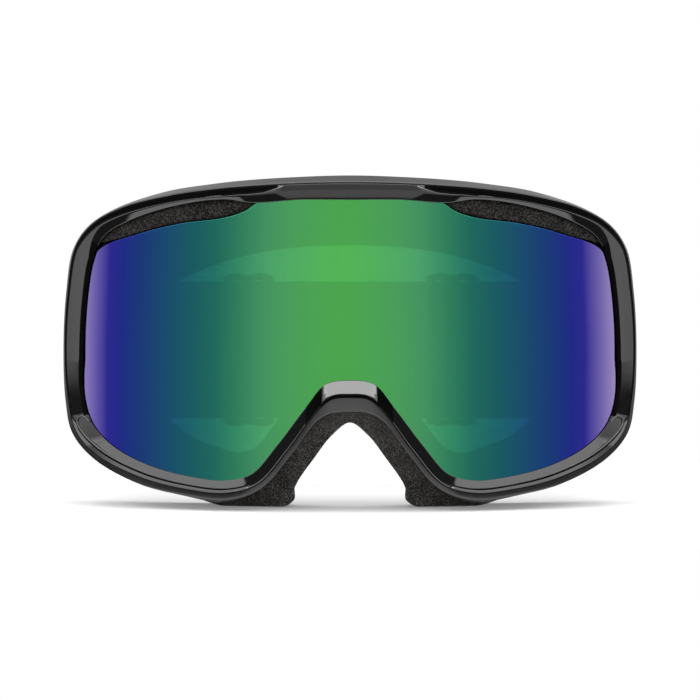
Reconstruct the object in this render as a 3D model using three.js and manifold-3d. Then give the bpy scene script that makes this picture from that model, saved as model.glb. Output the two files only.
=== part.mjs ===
// Ski goggles with a cylindrical double lens, a flexible frame, three-layer face foam and an elastic strap
// with two slide adjusters. Millimetres. X to the wearer's left, Y towards the face, Z up. The goggles stand
// on the flat undersides of the two cheek lobes of the foam.
import * as THREE from 'three';
import { mergeVertices } from 'three/addons/utils/BufferGeometryUtils.js';
import Module from 'manifold-3d';

const wasm = await Module();
wasm.setup();

// ---- Driving dimensions ----
const STATIONS_PER_POINT = 3;   // sections of a ring between two outline points
const GAP = 0.3;                // clearance between pieces that touch

const LENS_R = 108;             // outer face of the lens is a vertical cylinder
const LENS_THICK = 1.6;
const INNER_LENS_DEPTH = 5.6;
const INNER_LENS_THICK = 0.8;
const LENS_COLUMNS = 44;
const SEAL_WIDTH = 1.8;

const RIM_BACK = 3.0;           // the rim's back, behind the front of the lens
const SEAT_CLEARANCE = 0.25;    // between the lens's front and the rim that covers its edge
const BAND_FRONT = 0.6;         // the frame shows round the rim from this far behind the lens's front
const BAND_SLOPE = 0.45;        // and its band falls back by this share of its width
const CROWN_BACK = 5.5;         // over the brow the frame reaches its full height this far behind the band

const FLANGE_DEPTH = 27;        // from the lens to the face flange, on the centre line
const FLANGE_R = 115;           // bow of the flange round the face
const FLANGE_THICK = 2.0;
const WALL = 2.4;
const NOSE_RELIEF = 5;          // the flange and foam come forward by this much over the nose

const FOAM_GAP = 0.4;
const FOAM_LAYERS = [           // name, thickness, inset from the outline
  ['face_foam_base', 8.5, 0],
  ['face_foam_soft', 6.5, 0.5],
  ['face_fleece', 1.5, 0.2],
];

const STRAP_WIDTH = 45;
const STRAP_THICK = 1.4;
const STRAP_Z = 43.75;          // height of the strap's centre line
const STRAP_BACK_Y = 172.7;     // centre of the webbing across the back
const STRAP_BACK_HALF = 62;     // the back run is straight out to here
const STRAP_CORNER_R = 22;
const STRAP_SPLIT_Y = 90;       // the strap flexes between its bars and here
const LUG_X = 81;               // centre of the plate that carries the strap bar
const LUG_THICK = 3;
const LUG_FRONT_Y = 59;
const LUG_END = 2.4;            // the plate beyond each end of its slot
const LUG_REAR_Y = 77;
const BAR_FRONT_Y = 72.5;
const SLOT_FRONT_Y = 66.5;

const SLIDER_X = 33.4;
const SLIDER_WIDTH = 16.4;
const SLIDER_HEIGHT = 50.6;
const SLIDER_DIP = 0.9;         // between the two humps at each end
const SLIDER_THICK = 2.2;
const SLIDER_BAR_R = 1.2;

// ---- Outlines seen from the front: right half, from top centre round to the nose, as [x, z] ----
// They have the same number of points, so that one section joins them point by point.
const WINDOW = [[0, 92.8], [15.4, 92.8], [28.5, 91.9], [37.5, 92.9], [50.5, 91.4], [65.5, 87],
  [74.6, 81.6], [77.9, 74.5], [79.8, 64.2], [81, 46.5], [80.7, 32.3], [77.9, 24.6], [71.5, 18.4],
  [60.6, 13.1], [46.6, 9.8], [36.8, 9.1], [29.3, 11.3], [21.7, 19.9], [13.1, 31.2], [7.2, 38], [0, 39.2]];
const RIM_EDGE = [[0, 97.7], [16.4, 97.4], [29, 96.7], [38.7, 95.9], [53, 94], [68.6, 90.2], [78, 85.2],
  [83.4, 78.3], [85.9, 64.8], [86.9, 47.5], [85.8, 32], [83.3, 22.2], [76.5, 15.4], [62.5, 9.2],
  [48.5, 6.2], [37, 5.4], [27.6, 8.2], [19, 17.9], [10.5, 29.3], [5.6, 33.6], [0, 34.2]];
const BAND_EDGE = [[0, 98.4], [16.5, 98.1], [29.2, 97.4], [38.9, 96.6], [53.3, 94.6], [69, 90.7],
  [78.5, 85.6], [83.9, 78.5], [86.5, 64.8], [87.4, 47.5], [86.7, 31.8], [84.4, 21.8], [77.3, 14.3],
  [63.3, 7.5], [48.8, 4.6], [37, 3.7], [26.6, 7], [17.7, 16.9], [9.6, 27.5], [5.3, 29.8], [0, 30.2]];
const FLANGE_EDGE = [[0, 100.2], [16.5, 99.7], [32, 98.7], [41, 97.7], [55.5, 95.4], [72, 89.9],
  [80.7, 84.2], [85.5, 76.6], [87.4, 64.5], [88.4, 46.5], [87.9, 31.5], [86, 22], [79, 13.8],
  [64.5, 6.4], [50.4, 2.9], [37.4, 1.3], [26.6, 5.8], [17.4, 16.5], [9.3, 26.2], [5.2, 28.1], [0, 28.4]];
const FLANGE_INNER = [[0, 83.8], [15.7, 83.4], [28.5, 82], [35.4, 80.8], [46.3, 77.9], [57.4, 73.4],
  [64, 67.9], [67, 61.9], [68.6, 54.9], [69.1, 45.9], [68.1, 36], [64, 29.2], [58.9, 23], [50.9, 18.2],
  [42.4, 15.6], [35.4, 14.2], [28.1, 15.7], [23.1, 20.4], [15.6, 31.8], [9, 37.3], [0, 39.3]];
const FOAM_OUTER = [[0, 95.5], [16.7, 95.2], [31.5, 94.1], [40.5, 92.9], [54.3, 89.6], [66.9, 83.9],
  [73.5, 78.2], [75.8, 71.2], [76.6, 61.5], [76.6, 45.5], [76.2, 30.5], [74.4, 22.1], [69.6, 14.3],
  [59.6, 8.2], [39, 0], [20.4, 0], [16.9, 2.2], [16.7, 5.8], [10.8, 14.9], [5.4, 21.9], [0, 25.7]];
const FOAM_INNER = [[0, 79.1], [14.8, 78.6], [26.6, 77], [33.6, 75.4], [43.1, 72.3], [52.6, 67.8],
  [58.7, 62.7], [61.7, 57.7], [63.3, 51.7], [63.6, 44.7], [62.2, 36.3], [58.2, 29.4], [54.1, 24.5],
  [47.6, 19.8], [40.6, 17.4], [35.1, 15.7], [29.6, 17], [25.2, 21.4], [17.1, 32.7], [9.8, 38.7], [0, 41]];
// The lens dips under the two upper vents.
const LENS = [[0, 94.5], [14.5, 94.4], [25.5, 93.3], [31.5, 89.4], [38.1, 87.4], [50.5, 85.8],
  [64.3, 82.4], [76.5, 77.3], [81.4, 64.4], [82.7, 46.4], [82.3, 31.8], [79.3, 23.5], [72.4, 16.8],
  [61.2, 11.4], [46.9, 8], [36.7, 7.4], [28.4, 9.8], [20.4, 18.9], [11.9, 30.3], [6.6, 36.7], [0, 37.8]];
const INNER_LENS = [[0, 88.6], [14.5, 88.2], [27.1, 86.5], [34.9, 84], [48.7, 81.8], [60.7, 78.4],
  [69.3, 74.1], [73.4, 68.9], [75.5, 60], [76.2, 46.2], [75.7, 34.4], [73.8, 26.6], [68.8, 21.4],
  [59.2, 16.6], [46.7, 13], [37.6, 11.8], [30.4, 13.4], [23.3, 21.9], [14.8, 32.9], [8.2, 40.3], [0, 41.7]];

// The rim's section at stations counted from top centre, one for each outline point.
// seat: how far the rim reaches over the lens. inner and outer: where its flat land begins and ends, as
// shares of its width. lip, high and low: how far it stands in front of the lens at its inner edge and at
// those two places. recess: the step outside them.
const SECTIONS = [
  { station: 0, seat: 2.9, inner: 0.62, outer: 0.93, lip: 1.35, high: 1.3, low: 1, recess: 0 },
  { station: 1.25, seat: 2.9, inner: 0.62, outer: 0.93, lip: 1.35, high: 1.3, low: 1, recess: 0 },
  { station: 1.75, seat: 2.7, inner: 0.5, outer: 0.62, lip: 0.9, high: 1.3, low: 1.25, recess: 1.1 },
  { station: 2.5, seat: 1.3, inner: 0.38, outer: 0.5, lip: 0.6, high: 1.2, low: 1.2, recess: 1.4 },
  { station: 3.1, seat: 1.3, inner: 0.2, outer: 0.3, lip: 0.8, high: 1.2, low: 1.2, recess: 1.5 },
  { station: 4.8, seat: 1.3, inner: 0.45, outer: 0.53, lip: 0.5, high: 1.3, low: 1.3, recess: 1.5 },
  { station: 5.8, seat: 1.3, inner: 0.6, outer: 0.71, lip: 0.5, high: 1.3, low: 1.2, recess: 1.3 },
  { station: 7, seat: 1.8, inner: 0.24, outer: 0.88, lip: 0.35, high: 0.95, low: 0.75, recess: 0.6 },
  { station: 9.15, seat: 2.9, inner: 0.22, outer: 0.93, lip: 0.35, high: 1.35, low: 0.95, recess: 0 },
  { station: 10.5, seat: 2.9, inner: 0.24, outer: 0.93, lip: 0.35, high: 0.42, low: 0.02, recess: 0 },
  { station: 10.7, seat: 2.7, inner: 0.64, outer: 0.74, lip: 0.4, high: 0.45, low: 0.45, recess: 0.3 },
  { station: 11.6, seat: 2.7, inner: 0.54, outer: 0.62, lip: 0.35, high: 1.05, low: 1.1, recess: 0.5 },
  { station: 12.5, seat: 2.6, inner: 0.5, outer: 0.59, lip: 0.35, high: 1.05, low: 1.1, recess: 0.5 },
  { station: 15.65, seat: 2.4, inner: 0.54, outer: 0.62, lip: 0.35, high: 1.05, low: 1.1, recess: 0.5 },
  { station: 15.8, seat: 2.2, inner: 0.5, outer: 0.93, lip: 1.8, high: 1.25, low: 0.8, recess: 0.2 },
  { station: 18.82, seat: 2.4, inner: 0.5, outer: 0.93, lip: 1.8, high: 1.25, low: 0.7, recess: 0.2 },
  { station: 18.9, seat: 2.6, inner: 0.5, outer: 0.82, lip: 0.33, high: 1.2, low: 1.75, recess: 1.6 },
  { station: 20, seat: 2.9, inner: 0.5, outer: 0.82, lip: 0.33, high: 1.2, low: 1.75, recess: 1.6 },
];

// ---- Materials ----
function finish(color, roughness, metalness = 0) {
  return new THREE.MeshStandardMaterial({ color, roughness, metalness });
}

const FINISH = {
  rim: finish(0x0d0d0e, 0.12),
  frame: finish(0x1b1b1d, 0.35),
  mirror: finish(0x3fa35a, 0.06, 0.9),
  clear: finish(0xb9c4c8, 0.1),
  seal: finish(0x202022, 0.8),
  ventFoam: finish(0x19191a, 0.95),
  foam: finish(0x1d1c1b, 0.95),
  fleece: finish(0x2a2826, 1),
  webbing: finish(0x121214, 0.85),
  silicone: finish(0x3c3d40, 0.4),
  slider: finish(0x101011, 0.3),
  thread: finish(0x2c2c2e, 0.9),
};

// ---- Booleans ----
function toManifold(geometry) {
  const bare = geometry.index ? geometry.toNonIndexed() : geometry.clone();
  bare.deleteAttribute('normal');
  bare.deleteAttribute('uv');
  const merged = mergeVertices(bare, 1e-4);
  return new wasm.Manifold(new wasm.Mesh({
    numProp: 3,
    vertProperties: merged.attributes.position.array,
    triVerts: new Uint32Array(merged.index.array),
  }));
}

function toGeometry(solid) {
  const { vertProperties, triVerts, numProp } = solid.getMesh();
  const positions = new Float32Array(triVerts.length * 3);
  triVerts.forEach((v, i) => positions.set(vertProperties.subarray(v * numProp, v * numProp + 3), i * 3));
  const geometry = new THREE.BufferGeometry();
  geometry.setAttribute('position', new THREE.BufferAttribute(positions, 3));
  geometry.computeVertexNormals();
  return geometry;
}

const cut = (body, ...tools) => toGeometry(tools.reduce((s, t) => s.subtract(toManifold(t)), toManifold(body)));
const join = (...bodies) => toGeometry(bodies.map(toManifold).reduce((a, b) => a.add(b)));

// ---- Curves and surfaces ----
const bow = (x, radius) => radius - Math.sqrt(radius * radius - x * x);

// Distance of the face flange behind the front of the lens, at a point seen from the front.
function flangeY(x, z) {
  const nose = Math.exp(-((x / 24) ** 2) - ((z - 28.75) / 24) ** 2);
  return FLANGE_DEPTH + bow(x, FLANGE_R) - NOSE_RELIEF * nose;
}

function closedCurve(half) {
  const mirrored = half.slice(1, -1).reverse().map(([x, z]) => [-x, z]);
  const points = [...half, ...mirrored].map(([x, z]) => new THREE.Vector3(x, 0, z));
  return new THREE.CatmullRomCurve3(points, true, 'centripetal');
}

// Points round an outline, with the same count on every outline.
function loop(half, from = 0, to = 1, count = (half.length - 1) * 2 * STATIONS_PER_POINT) {
  const curve = closedCurve(half);
  const closed = to - from === 1;
  return Array.from({ length: closed ? count : count + 1 }, (_, i) => {
    const p = curve.getPoint((((from + (to - from) * i / count) % 1) + 1) % 1);
    return { x: p.x, z: Math.max(p.z, 0) };
  });
}

// The outline moved along its own normals, outwards where distance is above 0.
function offset(points, distance) {
  const n = points.length;
  return points.map((p, i) => {
    const a = points[(i + n - 1) % n];
    const b = points[(i + 1) % n];
    const length = Math.hypot(b.x - a.x, b.z - a.z);
    return { x: p.x - distance * (b.z - a.z) / length, z: p.z + distance * (b.x - a.x) / length };
  });
}

const mix = (a, b, share) => ({ x: a.x + (b.x - a.x) * share, z: a.z + (b.z - a.z) * share });

// A closed mesh from rows of points: rows join in a ring if closed, or end in two caps.
function loft(rows, closed = true) {
  const m = rows[0].length;
  const positions = rows.flat(2);
  const index = [];
  const last = closed ? rows.length : rows.length - 1;
  for (let i = 0; i < last; i++) {
    for (let j = 0; j < m; j++) {
      const a = i * m + j;
      const b = i * m + (j + 1) % m;
      const c = ((i + 1) % rows.length) * m + j;
      const d = ((i + 1) % rows.length) * m + (j + 1) % m;
      index.push(a, b, c, b, d, c);
    }
  }
  if (!closed) {
    const end = (rows.length - 1) * m;
    for (let j = 1; j < m - 1; j++) index.push(0, j + 1, j, end, end + j, end + j + 1);
  }
  const geometry = new THREE.BufferGeometry();
  geometry.setAttribute('position', new THREE.Float32BufferAttribute(positions, 3));
  geometry.setIndex(index);
  const flat = geometry.toNonIndexed();
  return facingOut(flat);
}

// Turns every face round if the mesh is inside out.
function facingOut(geometry) {
  const p = geometry.attributes.position;
  let volume = 0;
  for (let i = 0; i < p.count; i += 3) {
    const [a, b, c] = [0, 1, 2].map((k) => new THREE.Vector3().fromBufferAttribute(p, i + k));
    volume += a.dot(b.cross(c));
  }
  if (volume < 0) {
    for (let i = 0; i < p.count; i += 3) {
      const b = new THREE.Vector3().fromBufferAttribute(p, i + 1);
      const c = new THREE.Vector3().fromBufferAttribute(p, i + 2);
      p.setXYZ(i + 1, c.x, c.y, c.z);
      p.setXYZ(i + 2, b.x, b.y, b.z);
    }
  }
  geometry.computeVertexNormals();
  return geometry;
}

// A point on the cylinder that lies w behind the front of the lens.
const onLens = (p, w) => [p.x, LENS_R - Math.sqrt((LENS_R - w) ** 2 - p.x ** 2), p.z];

const onFace = (p, w) => [p.x, flangeY(p.x, p.z) + w, p.z];

// ---- Front of the goggles ----
const stationOf = (i, count) => Math.min(i, count - i) / STATIONS_PER_POINT;

function sectionAt(station) {
  const k = Math.max(1, SECTIONS.findIndex((s) => s.station >= station));
  const [a, b] = [SECTIONS[k - 1], SECTIONS[k]];
  const share = (station - a.station) / (b.station - a.station);
  return Object.fromEntries(Object.keys(a).map((key) => [key, a[key] + (b[key] - a[key]) * share]));
}

function rim() {
  const inner = loop(WINDOW);
  const edge = loop(RIM_EDGE);
  return loft(inner.map((p, i) => {
    const { seat, inner: land, outer, lip, high, low, recess } = sectionAt(stationOf(i, inner.length));
    const at = (share) => mix(p, edge[i], share);
    const seatShare = seat / Math.hypot(edge[i].x - p.x, edge[i].z - p.z);
    const floor = recess - low;
    return [
      onLens(p, -SEAT_CLEARANCE),
      onLens(p, -lip),
      onLens(at(land), -high),
      onLens(at(outer), -low),
      onLens(at(Math.min(outer + 0.1, 0.96)), floor),
      onLens(at(0.98), floor),
      onLens(edge[i], floor + 0.3),
      onLens(edge[i], RIM_BACK),
      onLens(at(seatShare), RIM_BACK),
      onLens(at(seatShare), -SEAT_CLEARANCE),
    ];
  }));
}

// Slots through the top wall and the bottom wall, drawn from above and cut straight down.
function ventSlot(x, y, length, width, turn, low, high) {
  const r = width / 2;
  const shape = new THREE.Shape();
  shape.absarc(length / 2 - r, 0, r, -Math.PI / 2, Math.PI / 2, false);
  shape.absarc(-length / 2 + r, 0, r, Math.PI / 2, Math.PI * 1.5, false);
  const settings = { depth: high - low, bevelEnabled: false, curveSegments: 5 };
  const geometry = new THREE.ExtrudeGeometry(shape, settings);
  return geometry.rotateZ(turn).translate(x, y, low);
}

const TOP_VENTS = [16, 33, 49].map((x) => ({ x, y: 14 + bow(x, LENS_R), turn: Math.asin(x / LENS_R) }));
const BOTTOM_VENTS = [44, 58].map((x) => ({ x, y: 14.5 + bow(x, LENS_R), turn: Math.asin(x / LENS_R) }));

function ventCutters() {
  const both = (v, length, low, high) => [1, -1].map((side) =>
    ventSlot(side * v.x, v.y, length, 6, side * v.turn, low, high));
  return [
    ...TOP_VENTS.flatMap((v) => both(v, 14, 88, 110)),
    ...BOTTOM_VENTS.flatMap((v) => both(v, 12, -5, 16)),
  ];
}

// The plate behind each temple: a slot for the strap and the bar that the strap turns round.
function strapLug(side) {
  const halfSlot = STRAP_WIDTH / 2 + 0.8;
  const halfPlate = halfSlot + LUG_END;
  const plate = new THREE.Shape();
  plate.moveTo(LUG_FRONT_Y, -halfPlate);
  plate.lineTo(LUG_REAR_Y - 3, -halfPlate);
  plate.absarc(LUG_REAR_Y - 3, -halfPlate + 3, 3, -Math.PI / 2, 0, false);
  plate.absarc(LUG_REAR_Y - 3, halfPlate - 3, 3, 0, Math.PI / 2, false);
  plate.lineTo(LUG_FRONT_Y, halfPlate);
  const slot = new THREE.Path();
  slot.moveTo(SLOT_FRONT_Y, -halfSlot);
  slot.lineTo(SLOT_FRONT_Y, halfSlot);
  slot.lineTo(BAR_FRONT_Y, halfSlot);
  slot.lineTo(BAR_FRONT_Y, -halfSlot);
  plate.holes.push(slot);
  const settings = { depth: LUG_THICK, bevelEnabled: false, curveSegments: 4 };
  const geometry = new THREE.ExtrudeGeometry(plate, settings);
  const upright = new THREE.Matrix4().makeBasis(
    new THREE.Vector3(0, 1, 0), new THREE.Vector3(0, 0, 1), new THREE.Vector3(1, 0, 0));
  return geometry.applyMatrix4(upright).translate(side * LUG_X - LUG_THICK / 2, 0, STRAP_Z);
}

// The frame stands at its full height close behind the rim over the brow, and further back round the cheeks.
const crown = (station) => 1 - THREE.MathUtils.smoothstep(station, 6, 8);

function frameBody() {
  const inner = loop(WINDOW);
  const edge = loop(RIM_EDGE);
  const band = loop(BAND_EDGE);
  const outer = loop(FLANGE_EDGE);
  const opening = loop(FLANGE_INNER);
  const distance = (a, b) => Math.hypot(b.x - a.x, b.z - a.z);
  const shell = loft(inner.map((p, i) => {
    const station = stationOf(i, inner.length);
    const rise = crown(station);
    const width = distance(p, edge[i]);
    const at = (u) => mix(p, edge[i], u / width);
    const bandWidth = distance(edge[i], band[i]);
    const bandBack = BAND_FRONT + BAND_SLOPE * bandWidth;
    const wallFoot = mix(outer[i], opening[i], WALL / distance(outer[i], opening[i]));
    const { seat } = sectionAt(station);
    return [
      onLens(mix(edge[i], band[i], 0.25 / bandWidth), BAND_FRONT),
      onLens(band[i], bandBack),
      onLens(mix(band[i], outer[i], 0.25 + 0.7 * rise), bandBack + 0.4 + CROWN_BACK * rise),
      onFace(outer[i], -FLANGE_THICK),
      ...[0, 1 / 3, 2 / 3, 1].map((share) => onFace(mix(outer[i], opening[i], share), 0)),
      onFace(opening[i], -FLANGE_THICK),
      onFace(wallFoot, -FLANGE_THICK - 0.4),
      onLens(at(width - 1.6), 6.4),
      onLens(at(-1.6), 5.4),
      onLens(at(-1.6), LENS_THICK + 0.5),
      onLens(at(seat), LENS_THICK + 0.5),
      onLens(at(seat), RIM_BACK + GAP),
      onLens(at(width + 0.4), RIM_BACK + GAP),
    ];
  }));
  const lugs = [-1, 1].map(strapLug);
  return cut(join(shell, ...lugs), ...ventCutters());
}

// ---- Lenses ----
// A sheet between two cylinders with one axis, cut to an outline: a row of upright strips.
function lensSheet(half, depth, thick) {
  const samples = loop(half, 0, 1, 800);
  const widest = Math.max(...samples.map((p) => p.x));
  const right = samples.slice(0, samples.length / 2 + 1);
  const turn = right.findIndex((p) => p.x === widest);
  const heightOn = (points, x) => {
    const k = Math.max(1, points.findIndex((p) => p.x >= x));
    const [a, b] = [points[k - 1], points[k]];
    return a.z + (b.z - a.z) * Math.min(1, (x - a.x) / Math.max(b.x - a.x, 1e-9));
  };
  const top = right.slice(0, turn + 1);
  const bottom = right.slice(turn).reverse();
  const rows = Array.from({ length: LENS_COLUMNS + 1 }, (_, i) => {
    const x = widest * Math.sin((i / LENS_COLUMNS - 0.5) * Math.PI);
    const high = { x, z: heightOn(top, Math.abs(x)) };
    const low = { x, z: Math.min(heightOn(bottom, Math.abs(x)), high.z - 0.5) };
    return [onLens(low, depth), onLens(high, depth), onLens(high, depth + thick), onLens(low, depth + thick)];
  });
  return loft(rows, false);
}

function lensSeal() {
  const outer = loop(INNER_LENS);
  const inner = offset(outer, -SEAL_WIDTH);
  const front = LENS_THICK + GAP;
  const back = INNER_LENS_DEPTH - GAP;
  return loft(outer.map((p, i) => {
    const q = inner[i];
    return [onLens(p, front), onLens(p, back), onLens(q, back), onLens(q, front)];
  }));
}

// ---- Vent foams ----
// The strip that shows above the lens, between its upper edge and the rim.
function frontVentFoam(side) {
  const rimSide = loop(WINDOW, 2.3 / 40, 6.3 / 40, 14);
  const lensSide = loop(LENS, 2.3 / 40, 6.3 / 40, 14);
  return loft(rimSide.map((p, i) => {
    const q = mix(p, lensSide[i], -0.12);
    const r = { x: lensSide[i].x, z: lensSide[i].z + 0.5 };
    return [q, r].flatMap((s, k) => {
      const point = { x: side * s.x, z: s.z };
      return k ? [onLens(point, 1.5), onLens(point, 0.5)] : [onLens(point, 0.5), onLens(point, 1.5)];
    });
  }), false);
}

// The strip inside the top wall or the bottom wall, behind its slots.
function wallVentFoam(side, from, to, gap, thick) {
  const rimSide = loop(RIM_EDGE, from / 40, to / 40, 12);
  const flangeSide = loop(FLANGE_EDGE, from / 40, to / 40, 12);
  return loft(rimSide.map((p, i) => {
    const middle = mix(p, flangeSide[i], 0.5);
    const upper = p.z > 50;
    return [[8, 0], [20, 0], [20, 1], [8, 1]].map(([back, far]) => {
      const drop = gap + far * thick;
      return [side * middle.x, bow(middle.x, LENS_R) + back, middle.z + (upper ? -drop : drop)];
    });
  }), false);
}

// ---- Face foam ----
function faceFoam(start, thick, inset) {
  const outer = loop(FOAM_OUTER);
  const inner = loop(FOAM_INNER);
  return loft(outer.map((p, i) => {
    const length = Math.hypot(inner[i].x - p.x, inner[i].z - p.z);
    const out = p.z > 0.01 ? mix(p, inner[i], inset / length) : p;
    const hole = mix(inner[i], p, inset / length);
    const across = [out, mix(out, hole, 0.5), hole];
    return [...across.map((q) => onFace(q, start + thick)), ...across.reverse().map((q) => onFace(q, start))];
  }));
}

// ---- Strap ----
// A band of webbing that stands on edge: a plan path of [x, y] points given thickness and height.
function ribbon(path, thick = STRAP_THICK, width = STRAP_WIDTH, centreZ = STRAP_Z) {
  const side = (distance) => path.map(([x, y], i) => {
    const a = path[Math.max(i - 1, 0)];
    const b = path[Math.min(i + 1, path.length - 1)];
    const length = Math.hypot(b[0] - a[0], b[1] - a[1]);
    return new THREE.Vector2(x - distance * (b[1] - a[1]) / length, y + distance * (b[0] - a[0]) / length);
  });
  const shape = new THREE.Shape([...side(thick / 2), ...side(-thick / 2).reverse()]);
  const geometry = new THREE.ExtrudeGeometry(shape, { depth: width, bevelEnabled: false });
  return geometry.translate(0, 0, centreZ - width / 2);
}

const arc = (cx, cy, r, from, to, steps) => Array.from({ length: steps + 1 }, (_, i) => {
  const angle = THREE.MathUtils.degToRad(from + (to - from) * i / steps);
  return [cx + r * Math.cos(angle), cy + r * Math.sin(angle)];
});

const WRAP_R = LUG_THICK / 2 + 0.9 + STRAP_THICK / 2;    // the strap's centre line round the bar
const LAYER = STRAP_THICK + 0.4;                         // from one layer of webbing to the next
const SIDE_X = STRAP_BACK_HALF + STRAP_CORNER_R;         // where the side of the loop meets its corner
const CORNER_Y = STRAP_BACK_Y - STRAP_CORNER_R;
const OUTER_X = LUG_X + WRAP_R;
const INNER_X = LUG_X - WRAP_R;
const sideX = (y) => OUTER_X + (SIDE_X - OUTER_X) * (y - LUG_REAR_Y) / (CORNER_Y - LUG_REAR_Y);

function strapBand() {
  const half = [
    [sideX(STRAP_SPLIT_Y + GAP), STRAP_SPLIT_Y + GAP],
    ...arc(STRAP_BACK_HALF, CORNER_Y, STRAP_CORNER_R, 0, 90, 9),
  ];
  return ribbon([...half, ...half.slice().reverse().map(([x, y]) => [-x, y])]);
}

// The webbing where it goes forward outside the bar, through the slot and back inside it.
function strapEnd(side) {
  const y = BAR_FRONT_Y + LUG_THICK / 2;
  return ribbon([
    [sideX(STRAP_SPLIT_Y), STRAP_SPLIT_Y],
    [OUTER_X, LUG_REAR_Y],
    ...arc(LUG_X, y, WRAP_R, 0, -180, 8),
    [INNER_X, LUG_REAR_Y - 0.5],
    [returnX(STRAP_SPLIT_Y), STRAP_SPLIT_Y],
  ].map(([x, py]) => [side * x, py]));
}

// The inner layer runs from the bar, closes up on the band and follows it to the adjuster.
function returnX(y) {
  const share = THREE.MathUtils.smoothstep(y, LUG_REAR_Y, 112);
  return INNER_X + (sideX(y) - LAYER - INNER_X) * share;
}

function strapReturn(side) {
  const leaving = [90 + GAP, 95, 100, 106, 112].map((y) => [returnX(y), y]);
  const corner = arc(STRAP_BACK_HALF, CORNER_Y, STRAP_CORNER_R - LAYER, 0, 90, 9);
  return ribbon([...leaving, ...corner, [SLIDER_X + 4.4, STRAP_BACK_Y - LAYER]].map(([x, y]) => [side * x, y]));
}

const FOLD_R = SLIDER_BAR_R + 0.2 + STRAP_THICK / 2;     // centre line of the fold round the adjuster's bar
const BAR_Y = STRAP_BACK_Y - STRAP_THICK - GAP - FOLD_R;

// The last of the webbing: it folds round the adjuster's bar and is sewn down on the layer it came from.
function strapTab(side) {
  return ribbon([
    [SLIDER_X + 4, STRAP_BACK_Y - LAYER + 0.1],
    ...arc(SLIDER_X, BAR_Y, FOLD_R, 90, 270, 8),
    [SLIDER_X + 4, BAR_Y - FOLD_R + 0.3],
    [SLIDER_X + 9, STRAP_BACK_Y - 2 * LAYER - 0.15],
    [SLIDER_X + 15, STRAP_BACK_Y - 2 * LAYER - 0.15],
  ].map(([x, y]) => [side * x, y]), STRAP_THICK, STRAP_WIDTH - 0.6);
}

function bartack(side) {
  const y = STRAP_BACK_Y - 2 * LAYER - 0.15 - STRAP_THICK / 2 - GAP - 0.3;
  const box = new THREE.BoxGeometry(2.2, 0.6, STRAP_WIDTH - 8);
  return box.translate(side * (SLIDER_X + 12), y, STRAP_Z);
}

// Three raised silicone lines on the head side of the band, between the adjusters.
function gripLine(row) {
  const steps = 16;
  const half = 12;
  const rows = Array.from({ length: steps + 1 }, (_, i) => {
    const x = -half + 2 * half * i / steps;
    const z = STRAP_Z + row * 11 + 1.6 * Math.sin(x / half * Math.PI * 2);
    const y = STRAP_BACK_Y - STRAP_THICK / 2 - GAP * 0.4;
    return [[x, y, z - 1], [x, y - 0.3, z - 1], [x, y - 0.3, z + 1], [x, y, z + 1]];
  });
  return loft(rows, false);
}

function roundedRect(width, height, r) {
  const [x, y] = [width / 2, height / 2];
  const shape = new THREE.Shape();
  shape.absarc(x - r, y - r, r, 0, Math.PI / 2, false);
  shape.absarc(-x + r, y - r, r, Math.PI / 2, Math.PI, false);
  shape.absarc(-x + r, -y + r, r, Math.PI, Math.PI * 1.5, false);
  shape.absarc(x - r, -y + r, r, Math.PI * 1.5, Math.PI * 2, false);
  return shape;
}

// The adjuster's plate: two humps at each end.
function humpedPlate() {
  const steps = 12;
  const end = (sign) => Array.from({ length: steps + 1 }, (_, k) => {
    const x = sign * SLIDER_WIDTH * (0.5 - k / steps);
    const dip = SLIDER_DIP * Math.cos(2 * Math.PI * x / SLIDER_WIDTH) ** 2;
    return new THREE.Vector2(x, sign * (SLIDER_HEIGHT / 2 - dip));
  });
  return new THREE.Shape([...end(1), ...end(-1)]);
}

// The slide adjuster: a window frame outside the band, and a bar inside it that the webbing's end is sewn to.
function slider(side) {
  const windowHeight = STRAP_WIDTH + 2 * GAP;
  const railHeight = (SLIDER_HEIGHT - windowHeight) / 2 - SLIDER_DIP;
  const plate = humpedPlate();
  plate.holes.push(roundedRect(SLIDER_WIDTH - 5.6, windowHeight, 0.6));
  const settings = { depth: SLIDER_THICK, bevelEnabled: false, curveSegments: 4 };
  const frame = new THREE.ExtrudeGeometry(plate, settings);
  const plateY = STRAP_BACK_Y + STRAP_THICK / 2 + GAP;
  frame.rotateX(Math.PI / 2).translate(0, plateY + SLIDER_THICK, 0);
  const cheekDepth = plateY + SLIDER_THICK - BAR_Y + SLIDER_BAR_R;
  const cheeks = [-1, 1].map((end) => new THREE.BoxGeometry(6, cheekDepth, railHeight)
    .translate(0, plateY + SLIDER_THICK - cheekDepth / 2, end * (windowHeight + railHeight) / 2));
  const bar = new THREE.CylinderGeometry(SLIDER_BAR_R, SLIDER_BAR_R, windowHeight + railHeight, 12)
    .rotateX(Math.PI / 2).translate(0, BAR_Y, 0);
  return join(frame, ...cheeks, bar).translate(side * SLIDER_X, 0, STRAP_Z);
}

// ---- Assembly ----
const goggles = new THREE.Group();

function add(name, geometry, material) {
  const mesh = new THREE.Mesh(geometry, material);
  mesh.name = name;
  goggles.add(mesh);
}

add('front_rim', rim(), FINISH.rim);
add('frame_body', frameBody(), FINISH.frame);
add('outer_lens', lensSheet(LENS, 0, LENS_THICK), FINISH.mirror);
add('inner_lens', lensSheet(INNER_LENS, INNER_LENS_DEPTH, INNER_LENS_THICK), FINISH.clear);
add('lens_seal', lensSeal(), FINISH.seal);

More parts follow.
